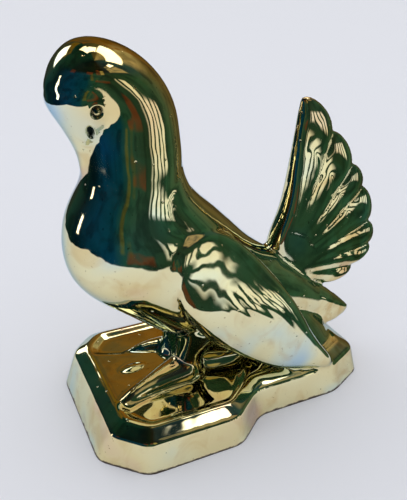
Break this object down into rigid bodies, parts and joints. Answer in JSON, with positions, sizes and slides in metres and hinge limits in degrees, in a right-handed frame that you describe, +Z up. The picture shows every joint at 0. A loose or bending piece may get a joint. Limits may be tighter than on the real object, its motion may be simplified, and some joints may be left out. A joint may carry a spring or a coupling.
{
  "type": "dove statue",
  "caption": "Glazed pottery dove standing with bowed head, drooped wings and a raised fan tail, cast in one with its low stepped base.",
  "frame": {"origin": "middle of the piece's box, on the flat underside that it stands on", "axes": "+Z up, the bird faces -Y, its left side is +X"},
  "size_m": [0.1306, 0.222, 0.2327],
  "materials": {
    "lustre_glaze": "mirror lustre glaze, pale gold"
  },
  "bodies": {
    "root": {"dove": "lustre_glaze"}
  },
  "joints": []
}
